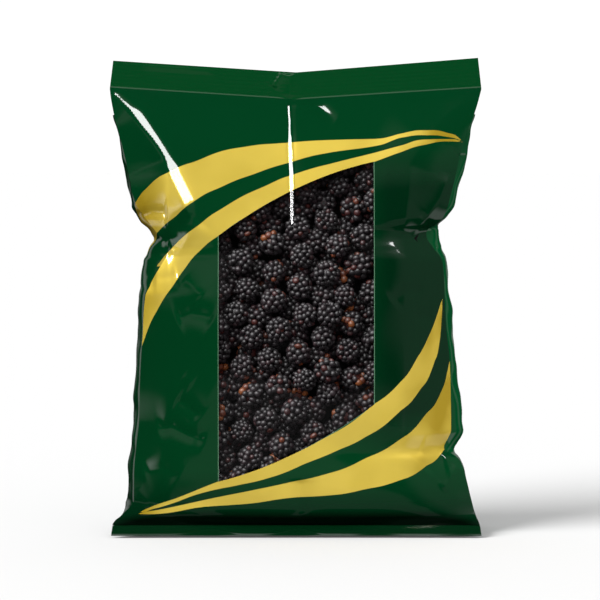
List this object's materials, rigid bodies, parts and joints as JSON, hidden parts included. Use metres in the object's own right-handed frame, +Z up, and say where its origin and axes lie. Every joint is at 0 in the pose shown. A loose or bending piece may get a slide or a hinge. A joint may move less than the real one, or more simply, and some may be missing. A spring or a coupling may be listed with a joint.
{
  "type": "filled berry bag",
  "caption": "Sealed plastic pillow bag with a clear front window, filled with dried bramble berries, standing on its base.",
  "frame": {"origin": "on the surface the bag stands on, under the centre of its outer box", "axes": "+Z up, +X to the right seen from the front, +Y to the back; the window faces -Y"},
  "size_m": [0.25, 0.0912, 0.3219],
  "materials": {
    "printed_film": "thin film printed dark green with two pairs of curved gold bands, high gloss, creased",
    "clear_film": "clear unprinted film, high gloss",
    "seal_film": "pressed film with fine crimp lines, semi gloss",
    "berry_skin": "dried fruit skin, near black with some maroon and brown, waxy sheen on each drupelet"
  },
  "bodies": {
    "root": {"front_panel": "printed_film", "window_film": "clear_film", "back_panel": "printed_film", "back_seam": "seal_film", "left_gusset": "printed_film", "right_gusset": "printed_film", "base_panel": "printed_film", "top_seal": "seal_film", "bottom_seal": "seal_film", "berry_01": "berry_skin", "berry_02": "berry_skin", "berry_03": "berry_skin", "berry_04": "berry_skin", "berry_05": "berry_skin", "berry_06": "berry_skin", "berry_07": "berry_skin", "berry_08": "berry_skin", "berry_09": "berry_skin", "berry_10": "berry_skin", "berry_11": "berry_skin", "berry_12": "berry_skin", "berry_13": "berry_skin", "berry_14": "berry_skin", "berry_15": "berry_skin", "berry_16": "berry_skin", "berry_17": "berry_skin", "berry_18": "berry_skin", "berry_19": "berry_skin", "berry_20": "berry_skin", "berry_21": "berry_skin", "berry_22": "berry_skin", "berry_23": "berry_skin", "berry_24": "berry_skin", "berry_25": "berry_skin", "berry_26": "berry_skin", "berry_27": "berry_skin", "berry_28": "berry_skin", "berry_29": "berry_skin", "berry_30": "berry_skin", "berry_31": "berry_skin", "berry_32": "berry_skin", "berry_33": "berry_skin", "berry_34": "berry_skin", "berry_35": "berry_skin", "berry_36": "berry_skin", "berry_37": "berry_skin", "berry_38": "berry_skin", "berry_39": "berry_skin", "berry_40": "berry_skin", "berry_41": "berry_skin", "berry_42": "berry_skin", "berry_43": "berry_skin", "berry_44": "berry_skin", "berry_45": "berry_skin", "berry_46": "berry_skin", "berry_47": "berry_skin", "berry_48": "berry_skin", "berry_49": "berry_skin", "berry_50": "berry_skin", "berry_bed": "berry_skin"}
  },
  "joints": []
}
